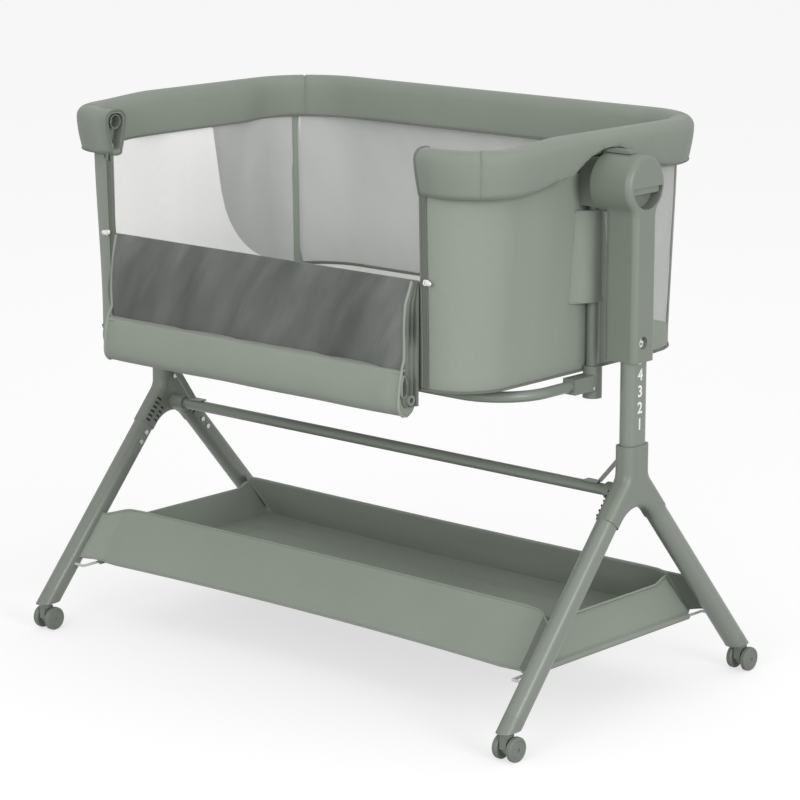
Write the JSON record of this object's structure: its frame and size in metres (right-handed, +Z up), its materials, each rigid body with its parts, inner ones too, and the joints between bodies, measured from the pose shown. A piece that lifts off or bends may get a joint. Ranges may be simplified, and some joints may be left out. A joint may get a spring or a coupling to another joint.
{
  "type": "bedside sleeper crib",
  "caption": "Bedside sleeper crib with a fold-down mesh side, height-adjustable masts on inverted-Y legs, swivel casters and a fabric storage tray.",
  "frame": {"origin": "on the floor under the middle of the crib", "axes": "+X along the crib to its right end, +Y towards the closed back, away from the side that folds down, +Z up"},
  "size_m": [0.924, 0.5755, 0.79],
  "materials": {
    "frame_paint": "satin sage green powder coat",
    "moulding": "satin sage green moulding",
    "screw_steel": "zinc plated",
    "wire_steel": "light grey coat",
    "caster_plastic": "sage green moulding",
    "wheel_plastic": "sage green tread",
    "sage_fabric": "smooth woven polyester",
    "light_mesh": "light grey air mesh",
    "dark_mesh": "dark grey mesh",
    "mattress_cover": "white knit cover",
    "board": "hardboard",
    "zip_white": "white slider"
  },
  "bodies": {
    "frame": {"crossbar": "frame_paint", "crossbar_stays": "frame_paint", "frame_screws": "screw_steel", "hub_left": "moulding", "hub_right": "moulding", "leg_boot_front_left": "moulding", "leg_boot_front_right": "moulding", "leg_boot_rear_left": "moulding", "leg_boot_rear_right": "moulding", "leg_front_left": "frame_paint", "leg_front_right": "frame_paint", "leg_rear_left": "frame_paint", "leg_rear_right": "frame_paint", "mast_left": "frame_paint", "mast_right": "frame_paint", "storage_tray": "sage_fabric", "tray_wings": "sage_fabric", "tray_wires": "wire_steel"},
    "fork_front_right": {"caster_fork_front_right": "caster_plastic"},
    "wheels_front_right": {"caster_wheels_front_right": "wheel_plastic"},
    "brake_front_right": {"caster_brake_front_right": "caster_plastic"},
    "fork_rear_right": {"caster_fork_rear_right": "caster_plastic"},
    "wheels_rear_right": {"caster_wheels_rear_right": "wheel_plastic"},
    "brake_rear_right": {"caster_brake_rear_right": "caster_plastic"},
    "fork_front_left": {"caster_fork_front_left": "caster_plastic"},
    "wheels_front_left": {"caster_wheels_front_left": "wheel_plastic"},
    "brake_front_left": {"caster_brake_front_left": "caster_plastic"},
    "fork_rear_left": {"caster_fork_rear_left": "caster_plastic"},
    "wheels_rear_left": {"caster_wheels_rear_left": "wheel_plastic"},
    "brake_rear_left": {"caster_brake_rear_left": "caster_plastic"},
    "basket": {"post_right": "moulding", "post_left": "moulding", "head_bracket_right": "moulding", "head_bracket_left": "moulding", "rail_tube": "frame_paint", "rail_pad": "sage_fabric", "end_tube_right": "frame_paint", "end_tube_left": "frame_paint", "end_fitting_right": "moulding", "end_fitting_left": "moulding", "base_tube": "frame_paint", "basket_shell": "sage_fabric", "mesh_back": "light_mesh", "mesh_end_right": "light_mesh", "mesh_end_left": "light_mesh", "mattress": "mattress_cover", "mattress_board": "board", "tube_sleeve_right": "sage_fabric", "tube_sleeve_left": "sage_fabric", "strap_eyelet": "moulding"},
    "lever_right": {"release_lever_right": "moulding"},
    "bolt_right": {"latch_bolt_right": "screw_steel"},
    "lever_left": {"release_lever_left": "moulding"},
    "bolt_left": {"latch_bolt_left": "screw_steel"},
    "drop_side": {"drop_bar": "frame_paint", "drop_pad": "sage_fabric", "drop_mesh": "dark_mesh", "drop_hooks": "moulding"},
    "slider_right": {"zip_slider_right": "zip_white"},
    "slider_left": {"zip_slider_left": "zip_white"}
  },
  "joints": [
    {"name": "swivel_front_right", "type": "hinge", "parent": "frame", "child": "fork_front_right", "pos_m": [0.443, -0.26, 0.045], "axis": [0, 0, 1], "continuous": true},
    {"name": "roll_front_right", "type": "hinge", "parent": "fork_front_right", "child": "wheels_front_right", "pos_m": [0.443, -0.253, 0.017], "axis": [1, 0, 0], "continuous": true},
    {"name": "brake_front_right", "type": "hinge", "parent": "fork_front_right", "child": "brake_front_right", "pos_m": [0.443, -0.2475, 0.0205], "axis": [-1, 0, 0], "range_deg": [0, 12]},
    {"name": "swivel_rear_right", "type": "hinge", "parent": "frame", "child": "fork_rear_right", "pos_m": [0.443, 0.26, 0.045], "axis": [0, 0, 1], "continuous": true},
    {"name": "roll_rear_right", "type": "hinge", "parent": "fork_rear_right", "child": "wheels_rear_right", "pos_m": [0.443, 0.267, 0.017], "axis": [1, 0, 0], "continuous": true},
    {"name": "brake_rear_right", "type": "hinge", "parent": "fork_rear_right", "child": "brake_rear_right", "pos_m": [0.443, 0.2725, 0.0205], "axis": [-1, 0, 0], "range_deg": [0, 12]},
    {"name": "swivel_front_left", "type": "hinge", "parent": "frame", "child": "fork_front_left", "pos_m": [-0.443, -0.26, 0.045], "axis": [0, 0, 1], "continuous": true},
    {"name": "roll_front_left", "type": "hinge", "parent": "fork_front_left", "child": "wheels_front_left", "pos_m": [-0.443, -0.253, 0.017], "axis": [1, 0, 0], "continuous": true},
    {"name": "brake_front_left", "type": "hinge", "parent": "fork_front_left", "child": "brake_front_left", "pos_m": [-0.443, -0.2475, 0.0205], "axis": [-1, 0, 0], "range_deg": [0, 12]},
    {"name": "swivel_rear_left", "type": "hinge", "parent": "frame", "child": "fork_rear_left", "pos_m": [-0.443, 0.26, 0.045], "axis": [0, 0, 1], "continuous": true},
    {"name": "roll_rear_left", "type": "hinge", "parent": "fork_rear_left", "child": "wheels_rear_left", "pos_m": [-0.443, 0.267, 0.017], "axis": [1, 0, 0], "continuous": true},
    {"name": "brake_rear_left", "type": "hinge", "parent": "fork_rear_left", "child": "brake_rear_left", "pos_m": [-0.443, 0.2725, 0.0205], "axis": [-1, 0, 0], "range_deg": [0, 12]},
    {"name": "height", "type": "slide", "parent": "frame", "child": "basket", "axis": [0, 0, 1], "range_m": [-0.1115, 0]},
    {"name": "lever_right", "type": "slide", "parent": "basket", "child": "lever_right", "axis": [0, 0, 1], "range_m": [0, 0.006], "stiffness_N_per_m": 300},
    {"name": "bolt_right", "type": "slide", "parent": "basket", "child": "bolt_right", "axis": [-1, 0, 0], "range_m": [0, 0.005]},
    {"name": "lever_left", "type": "slide", "parent": "basket", "child": "lever_left", "axis": [0, 0, 1], "range_m": [0, 0.006], "stiffness_N_per_m": 300},
    {"name": "bolt_left", "type": "slide", "parent": "basket", "child": "bolt_left", "axis": [1, 0, 0], "range_m": [0, 0.005]},
    {"name": "drop_side", "type": "hinge", "parent": "basket", "child": "drop_side", "pos_m": [0, -0.254, 0.612], "axis": [-1, 0, 0], "range_deg": [0, 180]},
    {"name": "zip_right", "type": "slide", "parent": "basket", "child": "slider_right", "axis": [0, 0, 1], "range_m": [0, 0.09]},
    {"name": "zip_left", "type": "slide", "parent": "basket", "child": "slider_left", "axis": [0, 0, 1], "range_m": [0, 0.09]}
  ],
  "couplings": [
    {"joint": "bolt_right", "follows": "lever_right", "ratio": 0.83},
    {"joint": "bolt_left", "follows": "lever_left", "ratio": 0.83}
  ]
}
